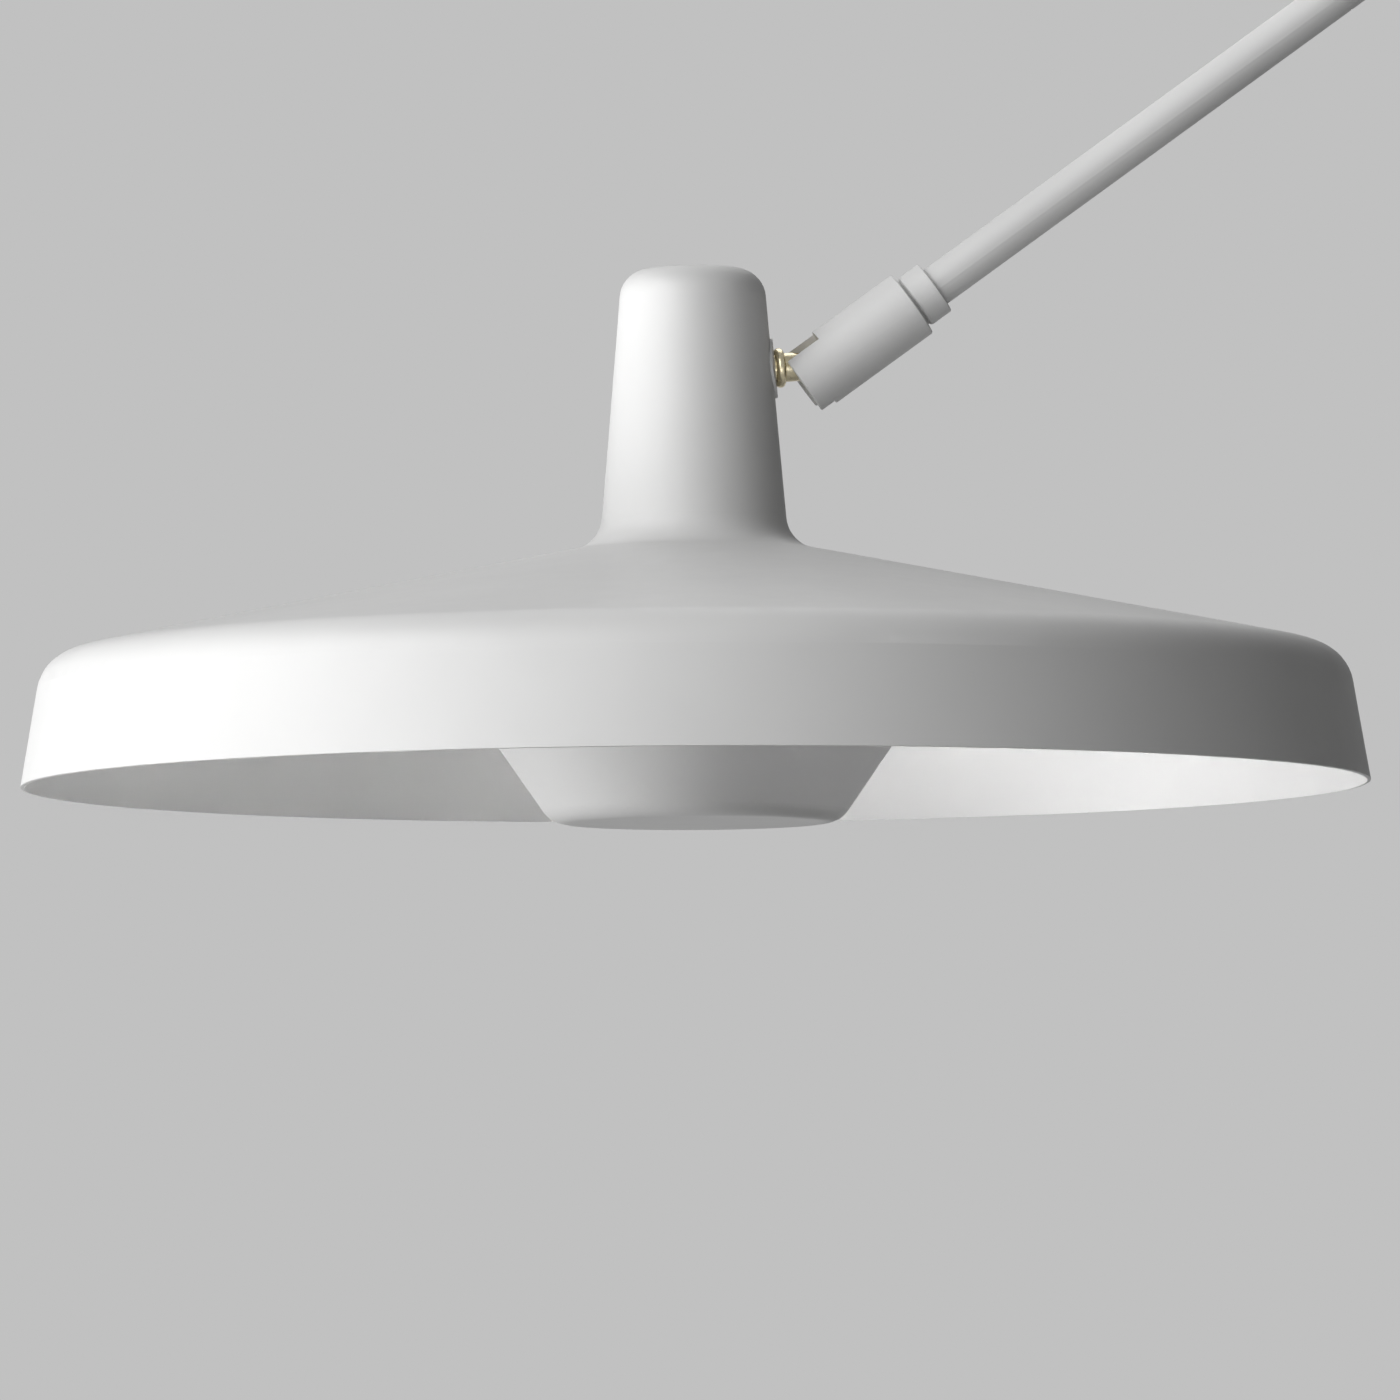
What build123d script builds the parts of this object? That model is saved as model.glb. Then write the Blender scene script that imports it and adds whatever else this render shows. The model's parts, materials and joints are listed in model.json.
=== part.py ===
from build123d import *
import math
import os

# Floor lamp with a swivelling, tilting arm and a wide spun shade.
# Origin: centre of the base's underside. +Z up. At rest the arm droops towards -X.
# All sizes are in millimetres.

# ---- Base and mast ----
BASE_RADIUS = 170.0
BASE_HEIGHT = 18.0
COVER_WALL = 1.5
COVER_LIFT = 0.8
PAD_THICKNESS = 2.0
WEIGHT_RADIUS = 165.5
WEIGHT_EDGE = 2.5
WEIGHT_WELL_RADIUS = 15.0
CHANNEL_WIDTH = 9.0
CHANNEL_TOP = 12.5
LEAD_HEIGHT = 7.2
GLAND_RADIUS = 5.2
GLAND_HEIGHT = 8.0
SOCKET_FLANGE_RADIUS = 30.0
SOCKET_FLANGE = 6.0
SOCKET_RADIUS = 13.0
SOCKET_HEIGHT = 46.0
SOCKET_SCREW_CIRCLE = 21.0
MAST_RADIUS = 10.0
MAST_BORE = 8.5
MAST_SEAT = 12.0
MAST_LEAD_RADIUS = 3.0
MAST_LEAD_TURN = 24.0

# ---- Swivelling mast head ----
ELBOW_HEIGHT = 1780.0
MAST_HEAD_RADIUS = 16.0
MAST_HEAD_CAVITY = 13.0
MAST_HEAD_BELOW = 43.0
MAST_HEAD_ABOVE = 27.0
MAST_JOURNAL_RADIUS = 7.0
MAST_JOURNAL_HEIGHT = 22.0
MAST_WASHER = 1.0
LID_THICKNESS = 4.0

# ---- Arm ----
ARM_LENGTH = 1000.0
ARM_DROOP = 35.75
ARM_RADIUS = 6.94
ARM_BORE = 5.25
ARM_LEAD_RADIUS = 2.5

# ---- Knuckle joint, the same at both ends of the arm ----
BARREL_RADIUS = 11.94
BARREL_MOUTH = 11.5
BARREL_BACK = 34.2
BARREL_EDGE = 0.35
COLLAR_RADIUS = 9.63
COLLAR_LENGTH = 8.5
COLLAR_ROUND = 1.2
SWIVEL_WASHER = 0.9
SWIVEL_WASHER_RADIUS = 8.7
SLOT_HALF_WIDTH = 6.35
FAN_SHALLOW = 32.0
FAN_DEEP = 60.0
SLOT_TOP_END = 1.6
SLOT_BOTTOM_END = -5.6
EYE_RADIUS = 6.5
EYE_HALF_WIDTH = 5.0
STEM_RADIUS = 4.85
STEM_LENGTH = 30.5
STEM_BORE = 2.7
SLOT_CLEARANCE = 0.4
FIT = 0.05
PIN_RADIUS = 2.5
PIN_HEAD_RADIUS = 4.3
PIN_HEAD_SEAT = 8.2
PIN_HEAD_TOP = 10.6
SPINDLE_RADIUS = 5.2
SPINDLE_BORE = 3.1
SPINDLE_DEPTH = 14.0
SPINDLE_END = 62.0
GROOVE_AT = 22.0
GROOVE_WIDTH = 4.4
GROOVE_RADIUS = 4.3
GRUB_RADIUS = 2.0
WALL_TO_PIVOT = 19.5
SADDLE_RADIUS = 10.0
SADDLE_THICKNESS = 0.9
FLANGE_RADIUS = 6.65
FLANGE_THICKNESS = 3.2
FLANGE_ROUND = 1.45
LOCK_NUT_RADIUS = 7.2
LOCK_NUT_THICKNESS = 4.0

# ---- Head: shade, cup, lampholder and bulb, heights above the rim plane ----
WRIST_ROLL = 13.8
SHADE_WALL = 1.2
RIM_RADIUS = 225.0
SHOULDER_RADIUS = 217.6
SHOULDER_HEIGHT = 43.1
SHOULDER_ROUND = 15.0
NECK_FOOT_RADIUS = 31.6
NECK_FOOT_HEIGHT = 80.5
NECK_FOOT_ROUND = 12.0
NECK_TOP_RADIUS = 23.65
NECK_TOP_HEIGHT = 172.9
NECK_TOP_ROUND = 10.0
PIVOT_UP = 141.27
CUP_WALL = 1.2
CUP_FLOOR = -12.65
CUP_FLOOR_CORNER = 48.1
CUP_FLOOR_ROUND = 9.7
CUP_TOP = 36.5
CUP_TOP_RADIUS = 82.0
CUP_TOP_ROUND = 2.5
CUP_LIP_RADIUS = 68.0
CUP_SCREW_CIRCLE = 73.5
CARRIER_THICKNESS = 1.5
CARRIER_WIDTH = 10.0
CARRIER_HEIGHT = 74.5
BRACKET_THICKNESS = 2.0
BRACKET_WIDTH = 16.0
BRACKET_HEIGHT = 121.0
HOLDER_RADIUS = 19.0
HOLDER_BOTTOM = 66.0
HOLDER_SPLIT = 100.0
RING_NUT_RADIUS = 25.0
BULB_RADIUS = 22.5
BULB_CENTRE = 44.0
BULB_CAP_RADIUS = 13.0
BULB_CAP_BOTTOM = 70.0
BULB_CAP_TOP = 94.0

# ---- Directions worked out from the sizes above ----
DROOP = math.radians(ARM_DROOP)
ROLL = math.radians(WRIST_ROLL)
NECK_TAPER = math.atan2(NECK_FOOT_RADIUS - NECK_TOP_RADIUS, NECK_TOP_HEIGHT - NECK_FOOT_HEIGHT)
STEM_FOOT = PIVOT_UP - WALL_TO_PIVOT * math.sin(NECK_TAPER)
STEM_FOOT_RADIUS = NECK_TOP_RADIUS + math.tan(NECK_TAPER) * (NECK_TOP_HEIGHT - STEM_FOOT)
PIVOT_OUT = STEM_FOOT_RADIUS + WALL_TO_PIVOT * math.cos(NECK_TAPER)
ACROSS = Vector(0, 1, 0)
UP_ARM = Vector(math.cos(DROOP), 0, math.sin(DROOP))
ARM_TOP_SIDE = Vector(-math.sin(DROOP), 0, math.cos(DROOP))
ELBOW = Vector(-(MAST_HEAD_RADIUS + WALL_TO_PIVOT), 0, ELBOW_HEIGHT)
TIP = ELBOW - UP_ARM * ARM_LENGTH
TIP_PIN = ACROSS * math.cos(ROLL) + ARM_TOP_SIDE * math.sin(ROLL)


def head_yaw():
    """Turn of the head about its own axis that sets its stem square to the rolled tip pin."""
    sine_part = TIP_PIN.Y * math.cos(NECK_TAPER)
    cosine_part = TIP_PIN.X * math.cos(NECK_TAPER)
    constant = -TIP_PIN.Z * math.sin(NECK_TAPER)
    size = math.hypot(sine_part, cosine_part)
    return math.asin(constant / size) - math.atan2(cosine_part, sine_part)


YAW = head_yaw()
HEAD_OUT = Vector(math.cos(YAW), math.sin(YAW), 0)
STEM_OUT = HEAD_OUT * math.cos(NECK_TAPER) + Vector(0, 0, math.sin(NECK_TAPER))
HEAD_CENTRE = TIP - HEAD_OUT * PIVOT_OUT - Vector(0, 0, PIVOT_UP)

# Each frame has X along the piece and Z along its pivot pin.
TIP_FORK = Plane(origin=TIP, x_dir=UP_ARM, z_dir=TIP_PIN)
ELBOW_FORK = Plane(origin=ELBOW, x_dir=-UP_ARM, z_dir=ACROSS)
TIP_STEM = Plane(origin=TIP, x_dir=-STEM_OUT, z_dir=TIP_PIN)
ELBOW_STEM = Plane(origin=ELBOW, x_dir=(1, 0, 0), z_dir=ACROSS)
BRACKET_FRAME = Plane(origin=TIP, x_dir=-STEM_OUT, z_dir=(-math.sin(YAW), math.cos(YAW), 0))
HEAD = Plane(origin=HEAD_CENTRE, x_dir=HEAD_OUT, z_dir=(0, 0, 1))

TUBE_START = BARREL_BACK + SWIVEL_WASHER


# ---- Shape helpers ----
def rod(radius, start, end):
    """Cylinder along X."""
    return Pos((start + end) / 2, 0, 0) * Rot(0, 90, 0) * Cylinder(radius, end - start)


def post(radius, low, high):
    """Cylinder along Z."""
    return Pos(0, 0, (low + high) / 2) * Cylinder(radius, high - low)


def sleeve(outer, inner, start, end):
    """Tube along X."""
    return rod(outer, start, end) - rod(inner, start - 1, end + 1)


def ring(outer, inner, low, high):
    """Tube along Z."""
    return post(outer, low, high) - post(inner, low - 1, high + 1)


def hexagon(radius, start, end):
    """Hexagonal bar along X, radius to its corners."""
    return extrude(Plane(origin=(start, 0, 0), z_dir=(1, 0, 0)) * RegularPolygon(radius, 6), end - start)


def soften(body, length):
    """Chamfers the round end edges of a turned piece."""
    return chamfer(body.edges().filter_by(GeomType.CIRCLE), length)


def around(count, radius, piece):
    """Copies of a piece, evenly spaced on a circle about Z."""
    return [Rot(0, 0, i * 360 / count) * Pos(radius, 0, 0) * piece for i in range(count)]


def inset(corners, wall):
    """The same open outline, moved to its right-hand side by the wall thickness."""
    steps = [(b - a).normalized() for a, b in zip(corners, corners[1:])]
    sides = [Vector(step.Y, -step.X, 0) for step in steps]
    moved = [corners[0] + sides[0] * wall]
    for corner, before, after in zip(corners[1:], sides, sides[1:]):
        moved.append(corner + (before + after) * (wall / (1 + before.dot(after))))
    moved.append(corners[-1] + sides[-1] * wall)
    return moved


def turned(edges):
    """Revolves a closed outline of (radius, height) points about Z."""
    return revolve(Plane.XZ * make_face(edges), Axis.Z)


def spun_shell(outline, rounds, wall):
    """Sheet-metal shell of revolution inside the given outer (radius, height) outline."""
    outer = [Vector(r, z) for r, z in outline]
    inner = inset(outer, wall)
    if outer[0].X == 0:
        inner[0] = Vector(0, inner[0].Y)
    right_turns = [a.cross(b).Z < 0 for a, b in bends(outer)]
    inner_rounds = [r - wall if right else r + wall for r, right in zip(rounds, right_turns)]
    outer_line = FilletPolyline(*outer, radius=rounds)
    inner_line = FilletPolyline(*inner, radius=inner_rounds)
    ends = [Line(outer[0], inner[0]), Line(outer[-1], inner[-1])]
    return turned([*outer_line.edges(), *inner_line.edges(), *ends])


def bends(corners):
    """Pairs of successive directions at each inner corner of an outline."""
    steps = [b - a for a, b in zip(corners, corners[1:])]
    return list(zip(steps, steps[1:]))


def filled(outline, rounds):
    """Solid of revolution under an outline that starts on the axis."""
    points = [Vector(r, z) for r, z in outline]
    line = FilletPolyline(*points, radius=rounds)
    foot = Vector(0, points[-1].Y)
    return turned([*line.edges(), Line(points[-1], foot), Line(foot, points[0])])


# ---- Base ----
def base_pad():
    return post(WEIGHT_RADIUS - 3, 0, PAD_THICKNESS)


def base_weight():
    top = BASE_HEIGHT - COVER_WALL
    blank = post(WEIGHT_RADIUS, PAD_THICKNESS, top)
    disc = chamfer(blank.edges().filter_by(GeomType.CIRCLE).sort_by(Axis.Z)[-1], WEIGHT_EDGE)
    disc -= post(WEIGHT_WELL_RADIUS, 0, top + 1)
    channel = Pos(WEIGHT_RADIUS / 2, 0, (PAD_THICKNESS + CHANNEL_TOP) / 2) * Box(
        WEIGHT_RADIUS + 2, CHANNEL_WIDTH, CHANNEL_TOP - PAD_THICKNESS)
    gland_seat = rod(GLAND_RADIUS + 2.6, WEIGHT_RADIUS - 6, WEIGHT_RADIUS + 1)
    disc = disc - channel - Pos(0, 0, GLAND_HEIGHT) * gland_seat
    for hole in around(3, SOCKET_SCREW_CIRCLE, post(3.3, 0, top + 1)):
        disc -= Rot(0, 0, 60) * hole
    for sink in around(3, SOCKET_SCREW_CIRCLE, post(6.6, 0, 6.6)):
        disc -= Rot(0, 0, 60) * sink
    return disc


def base_cover():
    outline = [(SOCKET_RADIUS, BASE_HEIGHT), (BASE_RADIUS - 1.5, BASE_HEIGHT), (BASE_RADIUS, COVER_LIFT)]
    shell = spun_shell(outline, [5.5], COVER_WALL)
    hole = Pos(0, 0, GLAND_HEIGHT) * rod(GLAND_RADIUS, BASE_RADIUS - 8, BASE_RADIUS + 5)
    for screw_hole in around(3, SOCKET_SCREW_CIRCLE, post(3.3, BASE_HEIGHT - 3, BASE_HEIGHT + 1)):
        shell -= Rot(0, 0, 60) * screw_hole
    return shell - hole


def cable_gland():
    """Snap-in bush for the mains lead, at the back of the base."""
    body = rod(GLAND_RADIUS - FIT, WEIGHT_RADIUS - 5.5, BASE_RADIUS + 2)
    lip = chamfer(rod(GLAND_RADIUS + 1.6, BASE_RADIUS + 0.3, BASE_RADIUS + 2.6).edges().filter_by(
        GeomType.CIRCLE).sort_by(Axis.X)[-1], 0.8)
    latch = rod(GLAND_RADIUS + 0.8, BASE_RADIUS - 4.6, BASE_RADIUS - 3.5)
    bore = rod(3.6, BASE_RADIUS - 20, BASE_RADIUS + 5)
    return Pos(0, 0, GLAND_HEIGHT) * (body + lip + latch - bore)


def mast_socket():
    foot = BASE_HEIGHT
    outline = [(0, foot + SOCKET_HEIGHT), (SOCKET_RADIUS, foot + SOCKET_HEIGHT),
               (SOCKET_RADIUS, foot + SOCKET_FLANGE), (SOCKET_FLANGE_RADIUS, foot + SOCKET_FLANGE),
               (SOCKET_FLANGE_RADIUS, foot)]
    body = filled(outline, [1.2, 5.0, 1.5])
    body -= post(MAST_RADIUS + FIT, foot + MAST_SEAT, foot + SOCKET_HEIGHT + 1)
    body -= post(MAST_BORE, foot - 1, foot + MAST_SEAT + 1)
    for hole in around(3, SOCKET_SCREW_CIRCLE, post(2.9, foot - 1, foot + 4.8)):
        body -= Rot(0, 0, 60) * hole
    return body - Pos(0, 0, foot + 30) * rod(2.5, MAST_RADIUS - 1, SOCKET_RADIUS + 1)


def socket_screws():
    screw = post(2.85, 6, BASE_HEIGHT + 4.5) + post(5.4, 3.2, 6.6) - hex_recess(3.2)
    return [Rot(0, 0, 60) * one for one in around(3, SOCKET_SCREW_CIRCLE, screw)]


def hex_recess(low):
    """Socket for a hexagon key, opening downwards."""
    return Pos(0, 0, low - 0.2) * extrude(RegularPolygon(2.3, 6), 2.6)


def socket_grub_screw():
    body = rod(2.45, MAST_RADIUS + 2 * FIT, SOCKET_RADIUS - 0.3)
    return Pos(0, 0, BASE_HEIGHT + 30) * (body - hexagon(1.4, SOCKET_RADIUS - 2, SOCKET_RADIUS))


# ---- Mast ----
MAST_FOOT = BASE_HEIGHT + MAST_SEAT
MAST_TOP = ELBOW_HEIGHT - MAST_HEAD_BELOW - MAST_WASHER
JOINER_HEIGHT = (MAST_FOOT + MAST_TOP) / 2
JOINER_BAND = 10.0


def mast_lower_tube():
    return ring(MAST_RADIUS, MAST_BORE, MAST_FOOT, JOINER_HEIGHT - JOINER_BAND / 2)


def mast_upper_tube():
    return ring(MAST_RADIUS, MAST_BORE, JOINER_HEIGHT + JOINER_BAND / 2, MAST_TOP)


def mast_joiner():
    band = soften(post(MAST_RADIUS + 1.2, JOINER_HEIGHT - JOINER_BAND / 2, JOINER_HEIGHT + JOINER_BAND / 2), 0.4)
    spigot = post(MAST_BORE - FIT, JOINER_HEIGHT - 40, JOINER_HEIGHT + 40)
    return band + spigot - post(5.0, JOINER_HEIGHT - 50, JOINER_HEIGHT + 50)


def mast_spindle():
    plug = post(MAST_BORE - FIT, MAST_TOP - 32, MAST_TOP)
    journal = post(MAST_JOURNAL_RADIUS, MAST_TOP - 1, MAST_TOP + MAST_WASHER + MAST_JOURNAL_HEIGHT)
    groove_at = MAST_TOP + MAST_WASHER + 11
    groove = ring(MAST_JOURNAL_RADIUS + 1, MAST_JOURNAL_RADIUS - 1.3, groove_at - 2.4, groove_at + 2.4)
    return plug + journal - groove - post(4.2, MAST_TOP - 40, MAST_TOP + 40)


def mast_swivel_washer():
    return ring(MAST_RADIUS, MAST_JOURNAL_RADIUS + FIT, MAST_TOP, MAST_TOP + MAST_WASHER)


def mast_lead():
    """Lead from the gland, along the base's channel and up the mast."""
    start = (BASE_RADIUS - 11, 0, LEAD_HEIGHT)
    corner = (0, 0, LEAD_HEIGHT)
    end = (0, 0, MAST_TOP + MAST_JOURNAL_HEIGHT + 4)
    path = FilletPolyline(start, corner, end, radius=[MAST_LEAD_TURN])
    section = Plane(origin=start, z_dir=(-1, 0, 0)) * Circle(MAST_LEAD_RADIUS)
    return sweep(section, path=path)


# ---- Mast head ----
def mast_head():
    foot = ELBOW_HEIGHT - MAST_HEAD_BELOW
    top = ELBOW_HEIGHT + MAST_HEAD_ABOVE
    body = chamfer(post(MAST_HEAD_RADIUS, foot, top).edges().filter_by(GeomType.CIRCLE), 1.2)
    body -= post(MAST_JOURNAL_RADIUS + FIT, foot - 1, foot + MAST_JOURNAL_HEIGHT + 1)
    body -= post(MAST_HEAD_CAVITY, foot + MAST_JOURNAL_HEIGHT, top - LID_THICKNESS)
    body -= post(MAST_HEAD_CAVITY + 1.2, top - LID_THICKNESS, top + 1)
    body -= ELBOW_STEM * rod(STEM_RADIUS + FIT, 10, 26)
    return body - mast_grub_frame() * rod(GRUB_RADIUS + FIT, MAST_JOURNAL_RADIUS - 1, MAST_HEAD_RADIUS + 1)


def mast_grub_frame():
    """Grub screw's place, at the back of the mast head."""
    height = ELBOW_HEIGHT - MAST_HEAD_BELOW + 11
    return Plane(origin=(0, 0, height), x_dir=(1, 0, 0), z_dir=(0, 0, 1))


def mast_head_lid():
    top = ELBOW_HEIGHT + MAST_HEAD_ABOVE
    radius = MAST_HEAD_CAVITY + 1.15
    outline = [(0, top + 1.2), (radius, top + 1.2), (radius, top - LID_THICKNESS)]
    return filled(outline, [1.6])


def mast_grub_screw():
    body = rod(GRUB_RADIUS, MAST_JOURNAL_RADIUS - 1.2, MAST_HEAD_RADIUS - 0.6)
    return mast_grub_frame() * (body - hexagon(1.1, MAST_HEAD_RADIUS - 3, MAST_HEAD_RADIUS))


# ---- Knuckle joint pieces ----
def fan_point(angle, reach, aside):
    """Point on a ray out of the barrel's mouth, angle measured towards the deep side."""
    turn = math.radians(angle)
    along = Vector(-math.cos(turn), -math.sin(turn))
    beside = Vector(math.sin(turn), -math.cos(turn))
    return along * reach + beside * aside


def slot_cutter():
    """Round pocket for the eye, a fan that the stem swings through, and a square-ended slot outside them."""
    half = STEM_RADIUS + SLOT_CLEARANCE
    reach = 30.0
    corners = [fan_point(FAN_DEEP, 0, half), fan_point(FAN_DEEP, reach, half),
               fan_point((FAN_DEEP - FAN_SHALLOW) / 2, reach * 1.5, 0),
               fan_point(-FAN_SHALLOW, reach, -half), fan_point(-FAN_SHALLOW, 0, -half)]
    fan = make_face(Polyline(*corners, close=True))
    profile = fan + Circle(EYE_RADIUS + SLOT_CLEARANCE)
    mouth = BARREL_MOUTH + 1
    depth = BARREL_RADIUS + 1
    for end, side in ((SLOT_TOP_END, -1), (SLOT_BOTTOM_END, 1)):
        profile += Pos((end - mouth) / 2, side * depth / 2) * Rectangle(end + mouth, depth)
    return extrude(profile, SLOT_HALF_WIDTH, both=True)


def barrel():
    body = soften(rod(BARREL_RADIUS, -BARREL_MOUTH, BARREL_BACK), BARREL_EDGE)
    body -= slot_cutter()
    body -= rod(SPINDLE_RADIUS + FIT, SPINDLE_DEPTH - 2, BARREL_BACK + 1)
    body -= rod(SPINDLE_BORE, 0, SPINDLE_DEPTH)
    body -= post(PIN_RADIUS + FIT, -10.2, BARREL_RADIUS)
    body -= post(PIN_HEAD_RADIUS + 0.2, PIN_HEAD_SEAT, BARREL_RADIUS + 1)
    return body - Pos(GROOVE_AT, 0, 0) * post(GRUB_RADIUS + FIT, 0, BARREL_RADIUS + 1)


def barrel_grub_screw():
    body = post(GRUB_RADIUS, GROOVE_RADIUS + 0.1, BARREL_RADIUS - 0.7)
    recess = extrude(RegularPolygon(1.1, 6), 3)
    return Pos(GROOVE_AT, 0, 0) * (body - Pos(0, 0, BARREL_RADIUS - 2.6) * recess)


def pivot_screw():
    head = post(PIN_HEAD_RADIUS, PIN_HEAD_SEAT, PIN_HEAD_TOP)
    recess = Pos(0, 0, PIN_HEAD_TOP - 1.8) * extrude(RegularPolygon(2.3, 6), 3)
    return post(PIN_RADIUS, -10.0, PIN_HEAD_SEAT) + head - recess


def friction_washers():
    washer = ring(EYE_RADIUS, PIN_RADIUS + FIT, EYE_HALF_WIDTH + FIT, SLOT_HALF_WIDTH - FIT)
    return [washer, mirror(washer, Plane.XY)]


def collar():
    """Sleeve round the tube's end, well rounded towards the barrel."""
    body = rod(COLLAR_RADIUS, TUBE_START, TUBE_START + COLLAR_LENGTH)
    near, far = body.edges().filter_by(GeomType.CIRCLE).sort_by(Axis.X)
    body = chamfer(fillet(near, COLLAR_ROUND).edges().filter_by(GeomType.CIRCLE).sort_by(Axis.X)[-1], BARREL_EDGE)
    return body - rod(ARM_RADIUS + FIT / 2, 0, 60)


def spindle():
    """Hollow stud held in the tube's end, with the groove that the grub screw runs in."""
    body = sleeve(SPINDLE_RADIUS, SPINDLE_BORE, SPINDLE_DEPTH, SPINDLE_END)
    low = GROOVE_AT - GROOVE_WIDTH / 2
    return body - sleeve(SPINDLE_RADIUS + 1, GROOVE_RADIUS, low, low + GROOVE_WIDTH)


def swivel_washer():
    return sleeve(SWIVEL_WASHER_RADIUS, SPINDLE_RADIUS + FIT, BARREL_BACK, TUBE_START)


def knuckle():
    """Brass eye on a hollow stem, with the outlet where its lead leaves."""
    eye = chamfer(post(EYE_RADIUS, -EYE_HALF_WIDTH, EYE_HALF_WIDTH).edges().filter_by(GeomType.CIRCLE), 0.5)
    body = eye + rod(STEM_RADIUS, 0, STEM_LENGTH)
    body -= post(PIN_RADIUS + FIT, -EYE_HALF_WIDTH - 1, EYE_HALF_WIDTH + 1)
    body -= rod(STEM_BORE, 9, STEM_LENGTH + 1)
    return body - Pos(10, 0, 0) * Rot(-90, 0, 0) * Cylinder(
        2.3, EYE_RADIUS * 2, align=(Align.CENTER, Align.CENTER, Align.MIN))


def flange_nut():
    """Brass nut with a crowned rim, run up against the saddle washer."""
    face = WALL_TO_PIVOT - SADDLE_THICKNESS - FIT
    blank = rod(FLANGE_RADIUS, face - FLANGE_THICKNESS, face)
    body = fillet(blank.edges().filter_by(GeomType.CIRCLE), FLANGE_ROUND)
    return body - rod(STEM_RADIUS, 0, STEM_LENGTH)


def saddle_outline():
    """Round outline of the outer washer, to be cut from a sheet that follows the wall behind it."""
    return sleeve(SADDLE_RADIUS, STEM_RADIUS + FIT, WALL_TO_PIVOT - 2, WALL_TO_PIVOT + 8)


def lock_nut(face):
    nut = hexagon(LOCK_NUT_RADIUS, face, face + LOCK_NUT_THICKNESS)
    return nut - rod(STEM_RADIUS, 0, STEM_LENGTH)


ELBOW_INNER_FACE = WALL_TO_PIVOT + 5.4
HEAD_INNER_FACE = WALL_TO_PIVOT + 2.95
INNER_WASHER_RADIUS = 7.0


def elbow_saddle_washer():
    sheet = ring(MAST_HEAD_RADIUS + SADDLE_THICKNESS, MAST_HEAD_RADIUS, ELBOW_HEIGHT - 12, ELBOW_HEIGHT + 12)
    return (ELBOW_STEM * saddle_outline()) & sheet


def elbow_inner_washer():
    blank = sleeve(INNER_WASHER_RADIUS, STEM_RADIUS + FIT, WALL_TO_PIVOT, ELBOW_INNER_FACE)
    return (ELBOW_STEM * blank) & post(MAST_HEAD_CAVITY, ELBOW_HEIGHT - 12, ELBOW_HEIGHT + 12)


# ---- Arm ----
ARM_TUBE_END = ARM_LENGTH - TUBE_START


def arm_tube():
    return sleeve(ARM_RADIUS, ARM_BORE, TUBE_START, ARM_TUBE_END)


def arm_lead():
    return rod(ARM_LEAD_RADIUS, SPINDLE_DEPTH - 3, ARM_LENGTH - SPINDLE_DEPTH + 3)


# ---- Head ----
SHADE_OUTLINE = [(0, NECK_TOP_HEIGHT), (NECK_TOP_RADIUS, NECK_TOP_HEIGHT), (NECK_FOOT_RADIUS, NECK_FOOT_HEIGHT),
                 (SHOULDER_RADIUS, SHOULDER_HEIGHT), (RIM_RADIUS, 0)]
SHADE_ROUNDS = [NECK_TOP_ROUND, NECK_FOOT_ROUND, SHOULDER_ROUND]


def shade():
    """Spun aluminium: neck, cone and rim wall in one sheet."""
    return HEAD * spun_shell(SHADE_OUTLINE, SHADE_ROUNDS, SHADE_WALL) - TIP_STEM * rod(STEM_RADIUS + FIT, 10, 24)


def neck_solid(shrink):
    """The neck's full shape, less a thickness, to fit washers to its wall."""
    taper = math.tan(NECK_TAPER)
    low, high = NECK_FOOT_HEIGHT + 20, NECK_TOP_HEIGHT - 10
    radius = [NECK_TOP_RADIUS + taper * (NECK_TOP_HEIGHT - z) - shrink / math.cos(NECK_TAPER) for z in (low, high)]
    return HEAD * Pos(0, 0, (low + high) / 2) * Cone(radius[0], radius[1], high - low)


def head_saddle_washer():
    return (TIP_STEM * saddle_outline()) & (neck_solid(-SADDLE_THICKNESS) - neck_solid(0))


def head_inner_washer():
    blank = sleeve(INNER_WASHER_RADIUS, STEM_RADIUS + FIT, WALL_TO_PIVOT, HEAD_INNER_FACE)
    return (TIP_STEM * blank) & neck_solid(SHADE_WALL)


def holder_bracket():
    """Angle that hangs the lampholder from the knuckle's stem."""
    face = HEAD_INNER_FACE
    drop = PIVOT_UP - BRACKET_HEIGHT - face * math.sin(NECK_TAPER)
    upright = Pos(face + BRACKET_THICKNESS / 2, (7 - drop) / 2, 0) * Box(
        BRACKET_THICKNESS, drop + 7, BRACKET_WIDTH)
    hole = rod(STEM_RADIUS + FIT, face - 1, face + 4)
    reach = PIVOT_OUT - face + 1.5
    shelf = Pos((reach - 11) / 2, 0, BRACKET_HEIGHT + BRACKET_THICKNESS / 2) * Box(
        reach + 11, BRACKET_WIDTH, BRACKET_THICKNESS)
    shelf -= post(5 + FIT, BRACKET_HEIGHT - 1, BRACKET_HEIGHT + 4)
    return BRACKET_FRAME * (upright - hole) + HEAD * shelf


def holder_nipple():
    return HEAD * ring(5.0, 3.2, BRACKET_HEIGHT - 8, BRACKET_HEIGHT + 8)


def holder_nut():
    nut = Pos(0, 0, BRACKET_HEIGHT + BRACKET_THICKNESS) * extrude(RegularPolygon(8, 6), 3.5)
    return HEAD * (nut - post(5.0, BRACKET_HEIGHT, BRACKET_HEIGHT + 9))


def lampholder_cap():
    outline = [(5.0, BRACKET_HEIGHT), (HOLDER_RADIUS - 4, BRACKET_HEIGHT), (HOLDER_RADIUS, HOLDER_SPLIT + 8),
               (HOLDER_RADIUS, HOLDER_SPLIT)]
    return HEAD * spun_shell(outline, [3.5, 4.0], 2.0)


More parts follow.
